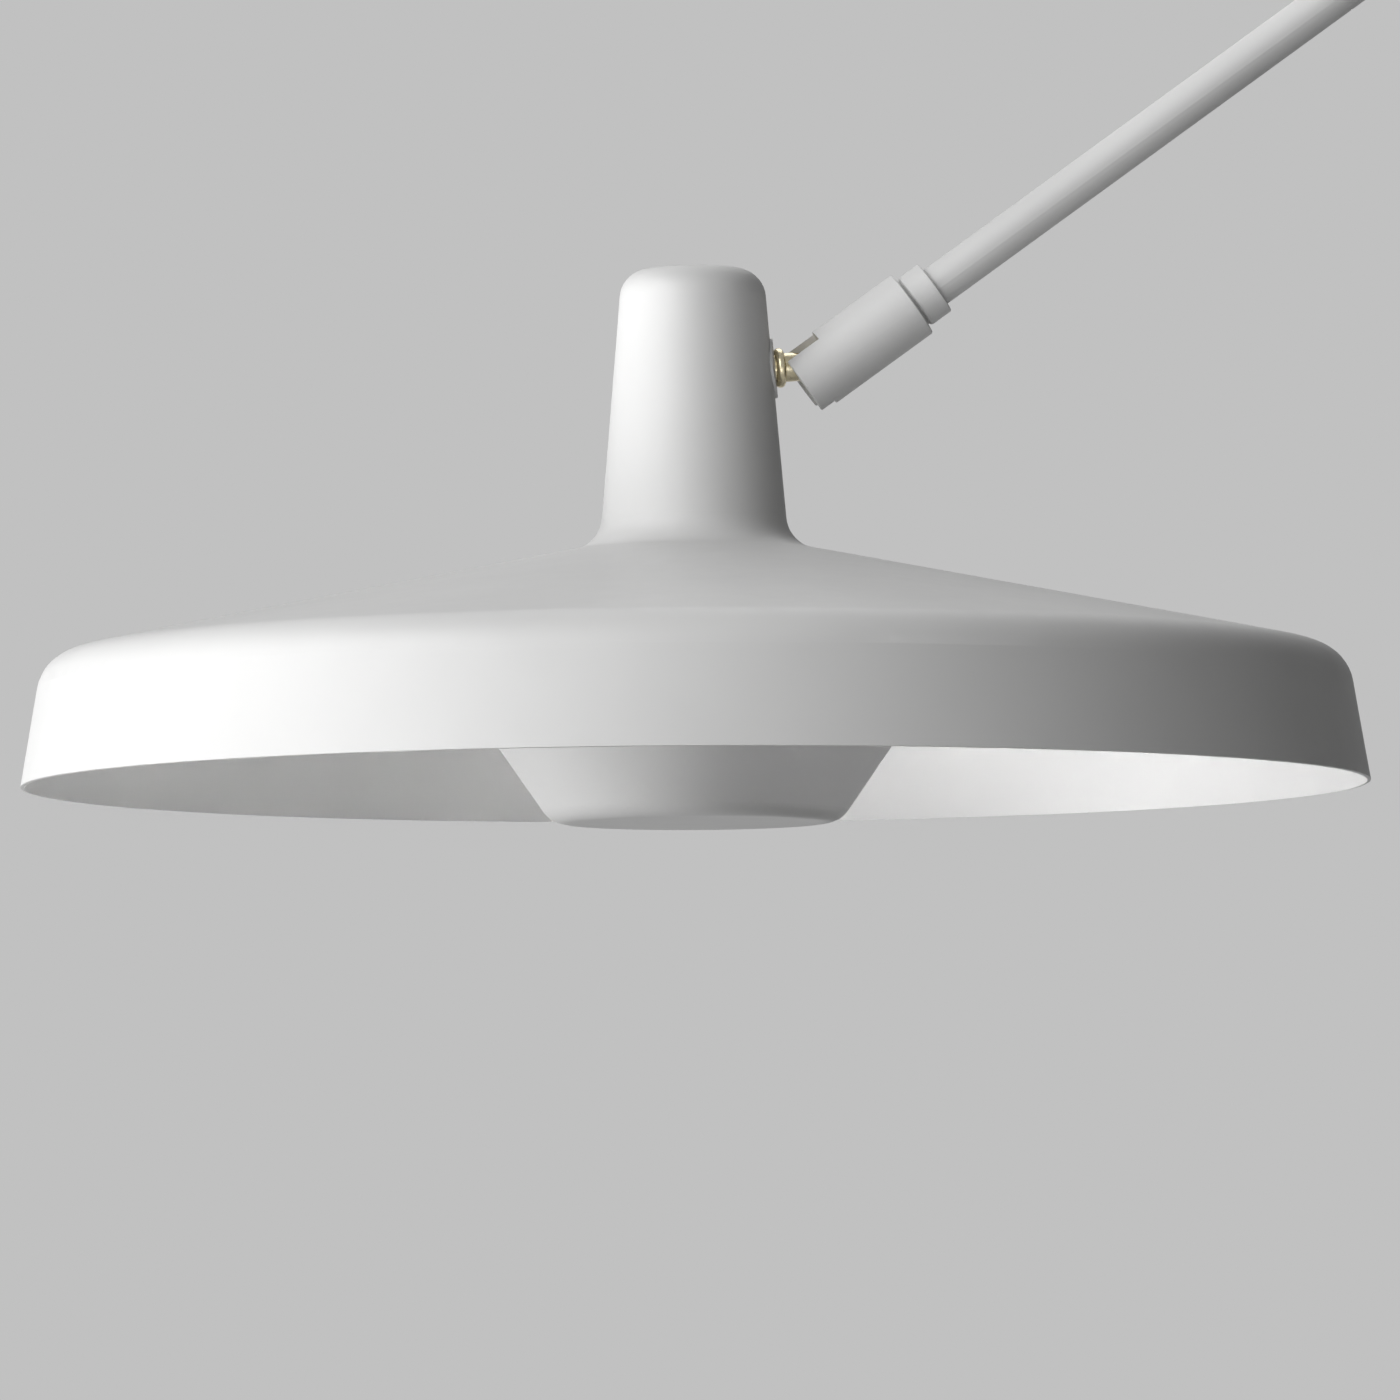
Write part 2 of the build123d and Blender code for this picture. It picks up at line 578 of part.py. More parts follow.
def lampholder_skirt():
    body = ring(HOLDER_RADIUS, HOLDER_RADIUS - 2.0, HOLDER_BOTTOM, HOLDER_SPLIT)
    liner = ring(HOLDER_RADIUS - 1.5, BULB_CAP_RADIUS + 0.6, HOLDER_BOTTOM + 3, HOLDER_SPLIT - 8)
    return HEAD * (body + liner)


def lampholder_core():
    """Insulating disc with the spring contact for the bulb's tip."""
    disc = post(HOLDER_RADIUS - 2.3, HOLDER_SPLIT - 2, HOLDER_SPLIT + 5)
    return HEAD * (disc + post(3.0, BULB_CAP_TOP + 2.2, HOLDER_SPLIT - 1))


def holder_ring_nut():
    low = CARRIER_HEIGHT - 5
    body = ring(RING_NUT_RADIUS, HOLDER_RADIUS + FIT, low, CARRIER_HEIGHT)
    return HEAD * chamfer(body.edges().filter_by(GeomType.CIRCLE).group_by(Axis.Z)[0].sort_by(SortBy.RADIUS)[-1], 1.0)


def bulb_cap():
    body = post(BULB_CAP_RADIUS, BULB_CAP_BOTTOM, BULB_CAP_TOP - 4)
    cone = Pos(0, 0, BULB_CAP_TOP - 2) * Cone(BULB_CAP_RADIUS, 5, 4)
    return HEAD * (body + cone + post(4.5, BULB_CAP_TOP - 1, BULB_CAP_TOP + 2))


def bulb_glass():
    """Frosted globe with a short neck, closed against the cap."""
    neck_radius = BULB_CAP_RADIUS - 0.8
    meet = BULB_CENTRE + math.sqrt(BULB_RADIUS ** 2 - neck_radius ** 2)
    ball = Pos(0, 0, BULB_CENTRE) * Sphere(BULB_RADIUS)
    globe = ball + post(neck_radius, meet - 3, BULB_CAP_BOTTOM)
    hollow = Pos(0, 0, BULB_CENTRE) * Sphere(BULB_RADIUS - 1)
    return HEAD * (globe - hollow - post(neck_radius - 1, BULB_CENTRE, BULB_CAP_BOTTOM + 1))


def cup():
    """Spun bowl under the bulb, with a lip turned in at its top."""
    outline = [(CUP_LIP_RADIUS, CUP_TOP), (CUP_TOP_RADIUS, CUP_TOP), (CUP_FLOOR_CORNER, CUP_FLOOR), (0, CUP_FLOOR)]
    body = spun_shell(outline, [CUP_TOP_ROUND, CUP_FLOOR_ROUND], CUP_WALL)
    for hole in around(3, CUP_SCREW_CIRCLE, post(1.6, CUP_TOP - 3, CUP_TOP + 1)):
        body -= hole
    return HEAD * body


def cup_carrier():
    """Spider clamped on the lampholder: a ring and three bent arms down to the cup's lip."""
    low = CARRIER_HEIGHT
    body = ring(RING_NUT_RADIUS, HOLDER_RADIUS + FIT, low, low + CARRIER_THICKNESS)
    drop = low - CUP_TOP
    side = [(HOLDER_RADIUS + 2, 0), (32, 0), (65, -drop), (CUP_SCREW_CIRCLE + 5, -drop)]
    lower = [Vector(r, z) for r, z in side]
    upper = inset(lower, -CARRIER_THICKNESS)
    profile = Plane.XZ * make_face(Polyline(*lower, *reversed(upper), close=True))
    arm = Pos(0, 0, low) * extrude(profile, CARRIER_WIDTH / 2, both=True)
    arm -= Pos(CUP_SCREW_CIRCLE, 0, 0) * post(1.6, CUP_TOP - 2, CUP_TOP + 4)
    for one in around(3, 0, arm):
        body += one
    return HEAD * body


def cup_screws():
    screw = post(1.5, CUP_TOP - 2, CUP_TOP + 8) + post(2.8, CUP_TOP - CUP_WALL - 2, CUP_TOP - CUP_WALL)
    return [HEAD * one for one in around(3, CUP_SCREW_CIRCLE, screw)]


def cup_nuts():
    low = CUP_TOP + CARRIER_THICKNESS
    nut = chamfer(post(4.4, low, low + 4.5).edges().filter_by(GeomType.CIRCLE), 0.5) - post(1.5, low - 1, low + 9)
    return [HEAD * one for one in around(3, CUP_SCREW_CIRCLE, nut)]


def head_lead():
    """Lead from the stem's end, over in one loop and down into the lampholder's nipple."""
    begin = PIVOT_OUT - STEM_LENGTH - 1
    level = PIVOT_UP - math.tan(NECK_TAPER) * (STEM_LENGTH + 1)
    points = [(begin, 0, level), (-12, 0, level), (-12, 0, level + 21), (0, 0, level + 21), (0, 0, BRACKET_HEIGHT + 9)]
    path = FilletPolyline(*points, radius=[8, 5.5, 5.5])
    section = Plane(origin=points[0], z_dir=(-1, 0, 0)) * Circle(1.5)
    return HEAD * sweep(section, path=path)


# ---- Writing the nodes ----
def joint_pieces(name, fork, stem, inner_face):
    """The pieces that both knuckle joints have, keyed by node name."""
    return {
        name + "_barrel": fork * barrel(),
        name + "_barrel_grub_screw": fork * barrel_grub_screw(),
        name + "_pivot_screw": fork * pivot_screw(),
        name + "_friction_washers": [fork * one for one in friction_washers()],
        name + "_collar": fork * collar(),
        name + "_spindle": fork * spindle(),
        name + "_swivel_washer": fork * swivel_washer(),
        name + "_knuckle": stem * knuckle(),
        name + "_flange_nut": stem * flange_nut(),
        name + "_lock_nut": stem * lock_nut(inner_face),
    }


nodes = {
    "base_pad": base_pad(),
    "base_weight": base_weight(),
    "base_cover": base_cover(),
    "cable_gland": cable_gland(),
    "mast_socket": mast_socket(),
    "socket_screws": socket_screws(),
    "socket_grub_screw": socket_grub_screw(),
    "mast_lower_tube": mast_lower_tube(),
    "mast_joiner": mast_joiner(),
    "mast_upper_tube": mast_upper_tube(),
    "mast_spindle": mast_spindle(),
    "mast_swivel_washer": mast_swivel_washer(),
    "mast_lead": mast_lead(),
    "mast_head": mast_head(),
    "mast_head_lid": mast_head_lid(),
    "mast_head_grub_screw": mast_grub_screw(),
    "elbow_saddle_washer": elbow_saddle_washer(),
    "elbow_inner_washer": elbow_inner_washer(),
    "arm_tube": TIP_FORK * arm_tube(),
    "arm_lead": TIP_FORK * arm_lead(),
    "shade": shade(),
    "head_saddle_washer": head_saddle_washer(),
    "head_inner_washer": head_inner_washer(),
    "holder_bracket": holder_bracket(),
    "holder_nipple": holder_nipple(),
    "holder_nut": holder_nut(),
    "lampholder_cap": lampholder_cap(),
    "lampholder_skirt": lampholder_skirt(),
    "lampholder_core": lampholder_core(),
    "holder_ring_nut": holder_ring_nut(),
    "bulb_cap": bulb_cap(),
    "bulb_glass": bulb_glass(),
    "cup": cup(),
    "cup_carrier": cup_carrier(),
    "cup_screws": cup_screws(),
    "cup_nuts": cup_nuts(),
    "head_lead": head_lead(),
}
nodes.update(joint_pieces("elbow", ELBOW_FORK, ELBOW_STEM, ELBOW_INNER_FACE + FIT))
nodes.update(joint_pieces("tip", TIP_FORK, TIP_STEM, HEAD_INNER_FACE + BRACKET_THICKNESS + FIT))

os.makedirs("parts", exist_ok=True)
for name, shape in nodes.items():
    solids = shape if isinstance(shape, list) else shape.solids()
    export_step(Compound(children=[one.solid() for one in solids]), f"parts/{name}.step")
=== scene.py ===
import bmesh
import bpy
import json
import math
from mathutils import Matrix, Quaternion, Vector


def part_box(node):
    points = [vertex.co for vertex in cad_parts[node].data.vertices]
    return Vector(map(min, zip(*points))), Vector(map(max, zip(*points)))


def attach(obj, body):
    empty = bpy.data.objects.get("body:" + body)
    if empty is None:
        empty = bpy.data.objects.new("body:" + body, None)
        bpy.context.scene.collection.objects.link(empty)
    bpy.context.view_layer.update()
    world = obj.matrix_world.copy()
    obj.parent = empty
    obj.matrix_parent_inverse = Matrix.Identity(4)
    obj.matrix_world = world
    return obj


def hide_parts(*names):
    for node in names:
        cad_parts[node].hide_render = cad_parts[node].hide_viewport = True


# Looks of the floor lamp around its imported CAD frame: finishes, small threaded and ribbed pieces,
# a plain studio and the camera. Metres, in the frame's own axes.

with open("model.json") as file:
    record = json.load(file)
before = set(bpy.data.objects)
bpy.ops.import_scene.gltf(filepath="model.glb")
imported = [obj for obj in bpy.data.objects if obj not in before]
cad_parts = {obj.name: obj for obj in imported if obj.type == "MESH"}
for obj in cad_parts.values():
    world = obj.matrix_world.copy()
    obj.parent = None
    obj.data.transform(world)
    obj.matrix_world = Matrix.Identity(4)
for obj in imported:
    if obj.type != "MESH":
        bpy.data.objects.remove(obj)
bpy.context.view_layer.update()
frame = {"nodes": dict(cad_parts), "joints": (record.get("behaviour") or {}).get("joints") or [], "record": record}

MM = 0.001
JOINTS = {joint["name"]: joint for joint in frame["joints"]}
STEM_AXIS = Vector(JOINTS["head_swivel"]["axis"])
HEAD_YAW = math.atan2(STEM_AXIS.y, STEM_AXIS.x)


def upright(node):
    """Radius and height of an upright turned node, and the middle of its foot."""
    low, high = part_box(node)
    foot = Vector(((low.x + high.x) / 2, (low.y + high.y) / 2, low.z))
    return (high.x - low.x) / 2, high.z - low.z, foot


RIM_RADIUS, _, RIM_CENTRE = upright("shade")


def new_object(name, data):
    """Object in the scene that shows the given mesh, light or camera."""
    thing = bpy.data.objects.new(name, data)
    bpy.context.scene.collection.objects.link(thing)
    return thing


# ---- Camera: a little below the rim, and aimed at the head ----
VIEW_DISTANCE = 4.45
VIEW_DROP = 0.2523
VIEW_FILL = 0.965
AIM_ASIDE = 0.0016
AIM_ABOVE = 0.0287
CAMERA_ROLL = math.radians(-0.35)
SENSOR = 36.0
CLIP_END = 200.0


def make_camera():
    data = bpy.data.cameras.new("camera")
    data.sensor_width = SENSOR
    data.lens = SENSOR * VIEW_FILL * VIEW_DISTANCE / (2 * RIM_RADIUS)
    data.clip_end = CLIP_END
    camera = new_object("camera", data)
    eye = RIM_CENTRE + Vector((0, -VIEW_DISTANCE, -VIEW_DROP))
    aim = RIM_CENTRE + Vector((AIM_ASIDE, 0, AIM_ABOVE))
    camera.location = eye
    camera.rotation_mode = "QUATERNION"
    level = (aim - eye).to_track_quat("-Z", "Y")
    camera.rotation_quaternion = level @ Quaternion((0, 0, 1), CAMERA_ROLL)
    bpy.context.scene.camera = camera


# ---- Studio ----
BACKDROP_GREY = 0.533
MIRRORED_GREY = 0.3
FLOOR_RADIUS = 150.0
FLOOR_DROP = 0.2 * MM
BULB_GLOW = 12.9

# Softboxes round the head: name, degrees left of the camera, degrees up, distance, side, watts.
SOFTBOXES = [
    ("key_left", 60, 0, 3.0, 2.4, 22.2),
    ("key_front_left", 30, 25, 3.0, 2.4, 38.3),
    ("high_left", 60, 40, 3.0, 1.6, 27.4),
    ("low_left", 90, -20, 2.3, 1.0, 48.3),
    ("low_front", 0, -25, 2.2, 1.4, 11.2),
    ("low_right", -90, -35, 1.6, 1.0, 2.2),
    ("behind_high", 180, 55, 3.0, 2.4, 21.2),
]

# Wide lights on the floor or the stand alone: degrees left of the camera, degrees up, angle, strength.
FLOOR_OVERHEAD = (0, 90, 70, 2.35)
STAND_OVERHEAD = (0, 90, 70, 1.3)
STAND_FILL = (-60, 20, 90, 0.8)


def direction(azimuth, elevation):
    """Unit vector from the head, by degrees left of the camera and degrees up."""
    side, up = math.radians(azimuth), math.radians(elevation)
    return Vector((-math.sin(side) * math.cos(up), -math.cos(side) * math.cos(up), math.sin(up)))


def soft_light(name, azimuth, elevation, distance, size, power):
    """Square softbox in a direction from the head, facing it and unseen by the camera."""
    data = bpy.data.lights.new(name, "AREA")
    data.size = size
    data.energy = power
    light = new_object(name, data)
    towards = direction(azimuth, elevation)
    light.location = RIM_CENTRE + towards * distance
    light.rotation_mode = "QUATERNION"
    light.rotation_quaternion = (-towards).to_track_quat("-Z", "Y")
    light.visible_camera = False
    return light


def wide_light(name, azimuth, elevation, angle, strength, lit):
    """Very large far light that falls only on the given objects."""
    data = bpy.data.lights.new(name, "SUN")
    data.energy = strength
    data.angle = math.radians(angle)
    light = new_object(name, data)
    light.rotation_mode = "QUATERNION"
    light.rotation_quaternion = (-direction(azimuth, elevation)).to_track_quat("-Z", "Y")
    only = bpy.data.collections.new("lit_by_" + name)
    for piece in lit:
        only.objects.link(piece)
    light.light_linking.receiver_collection = only


def light_surroundings(floor, softboxes):
    """Lights the floor and the stand on their own, and keeps the softboxes off the floor."""
    bodies = frame["record"]["behaviour"]["bodies"]
    stand = [frame["nodes"][name] for name in bodies["stand"] + bodies["mast_head"]]
    wide_light("floor_overhead", *FLOOR_OVERHEAD, [floor])
    wide_light("stand_overhead", *STAND_OVERHEAD, stand)
    wide_light("stand_fill", *STAND_FILL, stand)
    unlit = bpy.data.collections.new("not_lit_by_softboxes")
    unlit.objects.link(floor)
    unlit.collection_objects[0].light_linking.link_state = "EXCLUDE"
    for softbox in softboxes:
        softbox.light_linking.receiver_collection = unlit
    floor.visible_diffuse = False


def make_world():
    """Grey backdrop for the camera, and a dimmer grey that only reflections see."""
    world = bpy.data.worlds.new("studio")
    bpy.context.scene.world = world
    world.use_nodes = True
    tree = world.node_tree
    tree.nodes.clear()
    ray = add(tree, "LightPath")
    mirrored = add(tree, "Background", {"Color": (MIRRORED_GREY, MIRRORED_GREY, MIRRORED_GREY, 1)})
    seen = add(tree, "Background", {"Color": (BACKDROP_GREY, BACKDROP_GREY, BACKDROP_GREY, 1)})
    unseen = add(tree, "MixShader", {"Fac": ray.outputs["Is Glossy Ray"], 2: mirrored.outputs["Background"]})
    choose = add(tree, "MixShader", {
        "Fac": ray.outputs["Is Camera Ray"], 1: unseen.outputs["Shader"], 2: seen.outputs["Background"]})
    add(tree, "OutputWorld", {"Surface": choose.outputs["Shader"]})


def make_floor(material):
    mesh = bmesh.new()
    bmesh.ops.create_circle(mesh, cap_ends=True, radius=FLOOR_RADIUS, segments=96)
    data = bpy.data.meshes.new("floor")
    mesh.to_mesh(data)
    mesh.free()
    data.materials.append(material)
    floor = new_object("floor", data)
    floor.location.z = -FLOOR_DROP
    return floor


# ---- Materials ----
NOISE_LOW, NOISE_HIGH = 0.3, 0.7


def add(tree, kind, inputs=None, **settings):
    """Adds a shader node, sets its properties, and fills or links its inputs."""
    node = tree.nodes.new("ShaderNode" + kind)
    for key, value in settings.items():
        setattr(node, key, value)
    for key, value in (inputs or {}).items():
        if isinstance(value, bpy.types.NodeSocket):
            tree.links.new(value, node.inputs[key])
        else:
            node.inputs[key].default_value = value
    return node


def principled(name, **sockets):
    """New material with one Principled shader; its plain values are given by socket name."""
    material = bpy.data.materials.new(name)
    material.use_nodes = True
    shader = material.node_tree.nodes["Principled BSDF"]
    for key, value in sockets.items():
        shader.inputs[key.replace("_", " ").title().replace("Ior", "IOR")].default_value = value
    return material, material.node_tree, shader


def own_place(tree):
    """Coordinates fixed to the piece, in metres."""
    return add(tree, "TexCoord").outputs["Object"]


def noise(tree, place, grain, detail=2.0, roughness=0.5):
    """Noise whose blotches are about grain metres wide."""
    inputs = {"Vector": place, "Scale": 1 / grain, "Detail": detail, "Roughness": roughness}
    return add(tree, "TexNoise", inputs).outputs["Fac"]


def spread(tree, value, low, high):
    """Maps the range that a noise value mostly covers to the range low to high."""
    inputs = {"Value": value, "From Min": NOISE_LOW, "From Max": NOISE_HIGH, "To Min": low, "To Max": high}
    return add(tree, "MapRange", inputs).outputs["Result"]


def tinted(tree, value, dark, light):
    """Colour between two tones by a noise value."""
    ramp = add(tree, "ValToRGB", {"Fac": value})
    ramp.color_ramp.elements[0].position = NOISE_LOW
    ramp.color_ramp.elements[0].color = (*dark, 1)
    ramp.color_ramp.elements[1].position = NOISE_HIGH
    ramp.color_ramp.elements[1].color = (*light, 1)
    return ramp.outputs["Color"]


def bump(tree, height, depth, below=None):
    """Normal from a height texture that is depth metres deep, over an optional coarser one."""
    inputs = {"Height": height, "Distance": depth, "Strength": 1.0}
    if below is not None:
        inputs["Normal"] = below
    return add(tree, "Bump", inputs).outputs["Normal"]


def link(tree, value, shader, socket):
    tree.links.new(value, shader.inputs[socket])


def powder_coat(name, dark, light):
    """Matte powder coat: orange peel, fine grit, and a faint unevenness of tone and gloss."""
    material, tree, shader = principled(name, ior=1.5)
    place = own_place(tree)
    link(tree, tinted(tree, noise(tree, place, 60 * MM), dark, light), shader, "Base Color")
    link(tree, spread(tree, noise(tree, place, 9 * MM), 0.46, 0.55), shader, "Roughness")
    peel = bump(tree, noise(tree, place, 1.6 * MM, detail=1.0), 0.012 * MM)
    grit = bump(tree, noise(tree, place, 0.28 * MM, detail=3.0, roughness=0.6), 0.004 * MM, peel)
    link(tree, grit, shader, "Normal")
    return material


def turned_metal(name, dark, light, axis, rough):
    """Lathe-turned metal: fine rings round its axis, slightly uneven polish."""
    material, tree, shader = principled(name, metallic=1.0)
    place = own_place(tree)
    along = add(tree, "VectorMath", {0: place, 1: axis}, operation="DOT_PRODUCT").outputs["Value"]
    inputs = {"W": along, "Scale": 1 / (0.22 * MM), "Detail": 3.0}
    lines = add(tree, "TexNoise", inputs, noise_dimensions="1D").outputs["Fac"]
    cloud = noise(tree, place, 2.5 * MM)
    link(tree, tinted(tree, cloud, dark, light), shader, "Base Color")
    link(tree, spread(tree, cloud, rough - 0.04, rough + 0.06), shader, "Roughness")
    link(tree, bump(tree, lines, 0.0015 * MM), shader, "Normal")
    return material


def plated_steel(name, dark, light, rough):
    """Bright or blackened small steel part with a fine tumbled surface."""
    material, tree, shader = principled(name, metallic=1.0)
    place = own_place(tree)
    scuffs = noise(tree, place, 3 * MM, detail=4.0, roughness=0.7)
    link(tree, tinted(tree, scuffs, dark, light), shader, "Base Color")
    link(tree, spread(tree, scuffs, rough - 0.08, rough + 0.1), shader, "Roughness")
    link(tree, bump(tree, noise(tree, place, 0.6 * MM, detail=3.0), 0.003 * MM), shader, "Normal")
    return material


def moulded(name, dark, light, rough, grain, depth, patches=15 * MM):
    """Moulded plastic, rubber, ceramic or cast surface: a grain of its own and slightly cloudy colour."""
    material, tree, shader = principled(name, ior=1.5)
    place = own_place(tree)
    link(tree, tinted(tree, noise(tree, place, patches), dark, light), shader, "Base Color")
    link(tree, spread(tree, noise(tree, place, patches / 4), rough - 0.05, rough + 0.06), shader, "Roughness")
    link(tree, bump(tree, noise(tree, place, grain, detail=4.0, roughness=0.6), depth), shader, "Normal")
    return material


def frosted(name):
    """Opal glass of the bulb, etched on its outside and lit from within."""
    material, tree, shader = principled(
        name, ior=1.5, transmission_weight=0.45, subsurface_weight=0.3,
        emission_color=(1, 1, 1, 1), emission_strength=BULB_GLOW)
    shader.inputs["Subsurface Radius"].default_value = (2 * MM, 2 * MM, 1.8 * MM)
    place = own_place(tree)
    cloud = noise(tree, place, 12 * MM)
    link(tree, tinted(tree, cloud, (0.86, 0.855, 0.84), (0.92, 0.915, 0.90)), shader, "Base Color")
    link(tree, spread(tree, noise(tree, place, 5 * MM), 0.42, 0.55), shader, "Roughness")
    link(tree, bump(tree, noise(tree, place, 0.3 * MM, detail=3.0), 0.004 * MM), shader, "Normal")
    return material


def finishes():
    """A material for each of the record's slots, and one for the floor."""
    coat = ((0.73, 0.73, 0.727), (0.76, 0.76, 0.756))
    return {
        "white_steel": powder_coat("white_steel_coat", *coat),
        "white_aluminium": powder_coat("white_aluminium_coat", *coat),
        "polished_brass": turned_metal(
            "brass_turned", (0.88, 0.77, 0.52), (0.96, 0.87, 0.63), STEM_AXIS, 0.24),
        "zinc_steel": plated_steel("zinc_plate", (0.52, 0.53, 0.55), (0.68, 0.69, 0.70), 0.32),
        "black_screw": plated_steel("black_oxide", (0.03, 0.03, 0.033), (0.07, 0.07, 0.073), 0.42),
        "cast_weight": moulded(
            "cast_iron", (0.055, 0.053, 0.05), (0.10, 0.097, 0.092), 0.68, 1.4 * MM, 0.12 * MM),
        "rubber_pad": moulded(
            "rubber", (0.022, 0.022, 0.022), (0.035, 0.035, 0.034), 0.82, 0.5 * MM, 0.02 * MM),
        "cable_sheath": moulded(
            "cable_sheath", (0.025, 0.025, 0.026), (0.04, 0.04, 0.041), 0.5, 0.4 * MM, 0.008 * MM),
        "black_nylon": moulded(
            "black_nylon", (0.03, 0.03, 0.031), (0.05, 0.05, 0.051), 0.5, 0.35 * MM, 0.008 * MM),
        "white_nylon": moulded(
            "white_nylon", (0.46, 0.46, 0.45), (0.54, 0.54, 0.53), 0.5, 0.35 * MM, 0.008 * MM),
        "holder_plastic": moulded(
            "holder_plastic", (0.74, 0.74, 0.72), (0.80, 0.80, 0.78), 0.36, 0.8 * MM, 0.006 * MM),
        "holder_core": moulded(
            "porcelain", (0.80, 0.79, 0.76), (0.86, 0.85, 0.82), 0.2, 2 * MM, 0.01 * MM),
        "frosted_glass": frosted("opal_glass"),
        "pale_floor": moulded(
            "pale_floor", (0.715, 0.715, 0.715), (0.725, 0.725, 0.725), 0.8, 4 * MM, 0.03 * MM, 900 * MM),
    }


def paint_nodes(finish):
    """Every CAD node takes the procedural finish of its slot."""
    for node in frame["nodes"].values():
        for place in node.material_slots:
            place.material = finish[place.material.name.split(".")[0]]


# ---- Turned pieces with threads, ribs and rolled edges ----
SHARP = math.radians(38)


def lathe(name, outline, place, segments=96, ripple=None):
    """Mesh turned about its own Z from (radius, height) points and set at a place.

    An outline that starts on the axis makes a solid, and any other closes on itself as a ring.
    ripple(radius, height, turn) gives the radius at one angle, for threads, knurls and ribs.
    """
    mesh = bmesh.new()
    rings = []
    for radius, height in outline:
        if radius == 0:
            rings.append([mesh.verts.new((0, 0, height))] * segments)
            continue
        ring = []
        for step in range(segments):
            turn = 2 * math.pi * step / segments
            reach = ripple(radius, height, turn) if ripple else radius
            ring.append(mesh.verts.new((reach * math.cos(turn), reach * math.sin(turn), height)))
        rings.append(ring)
    if outline[0][0] > 0:
        rings.append(rings[0])
    for low, high in zip(rings, rings[1:]):
        for here in range(segments):
            there = (here + 1) % segments
            mesh.faces.new(list(dict.fromkeys((low[here], low[there], high[there], high[here]))))
    bmesh.ops.recalc_face_normals(mesh, faces=mesh.faces)
    mesh.normal_update()
    for face in mesh.faces:
        face.smooth = True
    for edge in mesh.edges:
        edge.smooth = edge.calc_face_angle(0) < SHARP
    data = bpy.data.meshes.new(name)
    mesh.to_mesh(data)
    mesh.free()
    piece = new_object(name, data)
    piece.matrix_world = place
    return piece


def fit_out(piece, body, slot, material, *replaced):
    """Gives a new piece its body and material, and hides the CAD nodes it stands for. The slot argument is not
    used.
    """
    piece.data.materials.append(material)
    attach(piece, body)
    if replaced:
        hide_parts(*replaced)


def thread(crest, depth, pitch, start, end):
    """Ripple of a round thread between two heights, on surfaces out at the crest's radius."""
    def ripple(radius, height, turn):
        if radius < crest - depth:
            return radius
        fade = max(0.0, min(1.0, (height - start) / pitch, (end - height) / pitch))
        wave = 0.5 - 0.5 * math.cos(2 * math.pi * height / pitch - turn)
        return radius - depth * fade * wave
    return ripple


def ribs(count, depth, inside):
    """Ripple of straight grip ribs on surfaces beyond a radius."""
    def ripple(radius, height, turn):
        if radius <= inside:
            return radius
        return radius - depth * (0.5 - 0.5 * math.cos(count * turn))
    return ripple


def straight(radius, start, end, steps):
    """Evenly spaced outline points up a straight wall."""
    return [(radius, start + (end - start) * step / steps) for step in range(steps + 1)]


def bulb_screw_cap(finish):
    """Edison screw shell, black glass insulator and soldered tip."""
    radius, height, foot = upright("bulb_cap")
    place = Matrix.Translation(foot)
    top = height - 6 * MM
    insulator_top = height - 2 * MM
    wall = straight(radius, 3.2 * MM, top - 0.6 * MM, 66)
    outline = [(0, 0), (radius - 0.7 * MM, 0), (radius - 0.1 * MM, 0.5 * MM), (radius, 1.1 * MM),
               (radius - 0.1 * MM, 1.7 * MM), (radius - 0.6 * MM, 2.2 * MM), (radius - 0.6 * MM, 2.7 * MM),
               *wall, (radius - 1.2 * MM, top), (0, top)]
    groove = thread(radius, 0.75 * MM, 3.62 * MM, 2.4 * MM, top)
    shell = lathe("bulb_screw_shell", outline, place, 96, groove)
    fit_out(shell, "head", "zinc_steel", finish["zinc_steel"], "bulb_cap")
    cone = [(0, top), (radius - 1.6 * MM, top), (radius - 2 * MM, top + 0.8 * MM),
            (6.2 * MM, insulator_top - 0.6 * MM), (5 * MM, insulator_top), (0, insulator_top)]
    insulator = lathe("bulb_insulator", cone, place)
    fit_out(insulator, "head", "black_nylon", finish["black_nylon"])
    dome = [(0, insulator_top), (4.5 * MM, insulator_top), (4.4 * MM, insulator_top + 0.6 * MM),
            (3.6 * MM, insulator_top + 1.3 * MM), (2.1 * MM, height - 0.15 * MM), (0, height)]
    contact = lathe("bulb_tip_contact", dome, place)
    fit_out(contact, "head", "zinc_steel", finish["zinc_steel"])


def lampholder_thread(finish):
    """Lampholder skirt with its outside thread, and the ribbed ring that clamps the spider."""
    radius, height, foot = upright("lampholder_skirt")
    inside, liner = radius - 2 * MM, 13.6 * MM
    thread_end = 22 * MM
    wall = straight(radius, 0.6 * MM, thread_end, 72)
    outline = [(inside, 0), (radius - 0.6 * MM, 0), *wall, (radius, height), (inside, height),
               (inside, height - 8 * MM), (liner, height - 8 * MM), (liner, 3 * MM), (inside, 3 * MM)]
    groove = thread(radius, 0.7 * MM, 2.5 * MM, 0.6 * MM, thread_end)
    skirt = lathe("lampholder_threaded_skirt", outline, Matrix.Translation(foot), 96, groove)
    fit_out(skirt, "head", "holder_plastic", finish["holder_plastic"], "lampholder_skirt")
    bore = radius + 0.05 * MM
    radius, height, foot = upright("holder_ring_nut")
    outline = [(bore, 0), (radius - 1.5 * MM, 0), (radius - 0.4 * MM, 0.5 * MM), (radius, 1.3 * MM),
               (radius, height - 0.7 * MM), (radius - 0.6 * MM, height), (bore, height)]
    ring = lathe("holder_ribbed_ring", outline, Matrix.Translation(foot), 320, ribs(40, 0.8 * MM, bore))
    fit_out(ring, "head", "holder_plastic", finish["holder_plastic"], "holder_ring_nut")


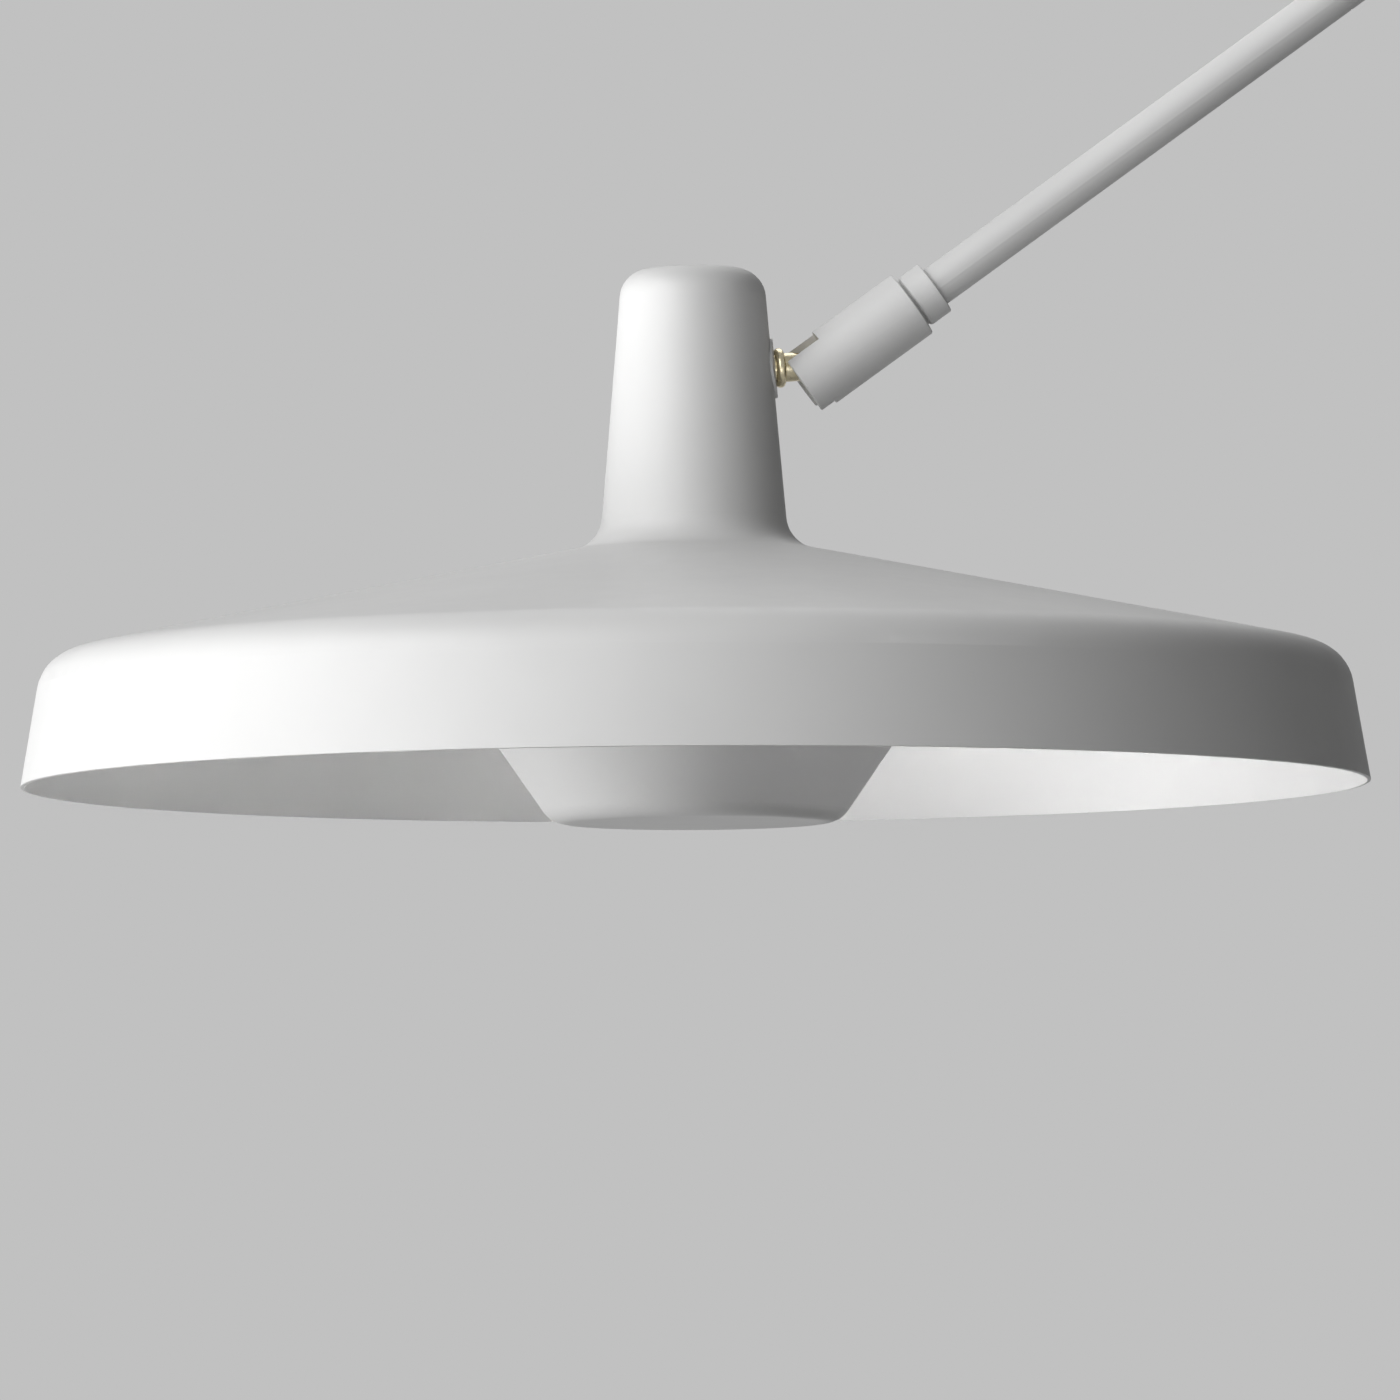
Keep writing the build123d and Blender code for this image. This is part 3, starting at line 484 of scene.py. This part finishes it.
def thumb_nuts(finish):
    """Three knurled nuts that hold the cup's lip up to the spider."""
    low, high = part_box("cup_nuts")
    radius = 4.4 * MM
    circle = (high.x - RIM_CENTRE.x - radius) / math.cos(HEAD_YAW)
    height = high.z - low.z
    bore = 1.5 * MM
    outline = [(bore, 0), (radius - 0.5 * MM, 0), (radius, 0.5 * MM), (radius, height - 1.1 * MM),
               (radius - 0.5 * MM, height - 0.5 * MM), (radius - 1.5 * MM, height), (bore, height)]
    for number in range(3):
        turn = HEAD_YAW + number * math.tau / 3
        outwards = Vector((math.cos(turn), math.sin(turn), 0))
        foot = Vector((RIM_CENTRE.x, RIM_CENTRE.y, low.z)) + circle * outwards
        place = Matrix.Translation(foot)
        nut = lathe(f"cup_thumb_nut_{number + 1}", outline, place, 192, ribs(24, 0.4 * MM, bore))
        fit_out(nut, "head", "zinc_steel", finish["zinc_steel"], "cup_nuts")


def gland_bush(finish):
    """Snap-in bush at the back of the base: tapered latch, rolled lip, round bore."""
    low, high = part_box("cable_gland")
    middle = (low + high) / 2
    length = high.x - low.x
    lip = (high.z - low.z) / 2
    bore, neck = 3.6 * MM, lip - 1.65 * MM
    latch = neck + 0.85 * MM
    outline = [(bore, 0), (neck - 0.5 * MM, 0), (neck, 0.5 * MM), (neck, 4.4 * MM), (latch, 5.4 * MM),
               (latch, 6.4 * MM), (neck, 6.5 * MM), (neck, length - 2.3 * MM), (lip, length - 2.3 * MM),
               (lip, length - 1.3 * MM), (lip - 0.4 * MM, length - 0.5 * MM), (lip - 1.2 * MM, length),
               (bore + 0.9 * MM, length), (bore + 0.25 * MM, length - 0.3 * MM), (bore, length - 1 * MM)]
    place = Matrix.Translation((low.x, middle.y, middle.z)) @ Matrix.Rotation(math.radians(90), 4, "Y")
    bush = lathe("gland_bush", outline, place)
    fit_out(bush, "stand", "black_nylon", finish["black_nylon"], "cable_gland")


def grooved_pad(finish):
    """Rubber pad under the base, with moulded rings that grip the floor."""
    radius, height, foot = upright("base_pad")
    outline = [(0, 0)]
    groove_count = 9
    for number in range(1, groove_count + 1):
        at = radius * number / (groove_count + 1)
        outline += [(at - 2 * MM, 0), (at - 1.4 * MM, 0.9 * MM), (at + 1.4 * MM, 0.9 * MM), (at + 2 * MM, 0)]
    outline += [(radius - 0.6 * MM, 0), (radius, 0.6 * MM), (radius, height), (0, height)]
    pad = lathe("base_grooved_pad", outline, Matrix.Translation(foot), 128)
    fit_out(pad, "stand", "rubber_pad", finish["rubber_pad"], "base_pad")


# ---- The scene ----
finish = finishes()
paint_nodes(finish)
bulb_screw_cap(finish)
lampholder_thread(finish)
thumb_nuts(finish)
gland_bush(finish)
grooved_pad(finish)
floor = make_floor(finish["pale_floor"])
make_world()
make_camera()
light_surroundings(floor, [soft_light(*softbox) for softbox in SOFTBOXES])
bpy.context.scene.view_settings.view_transform = "Standard"
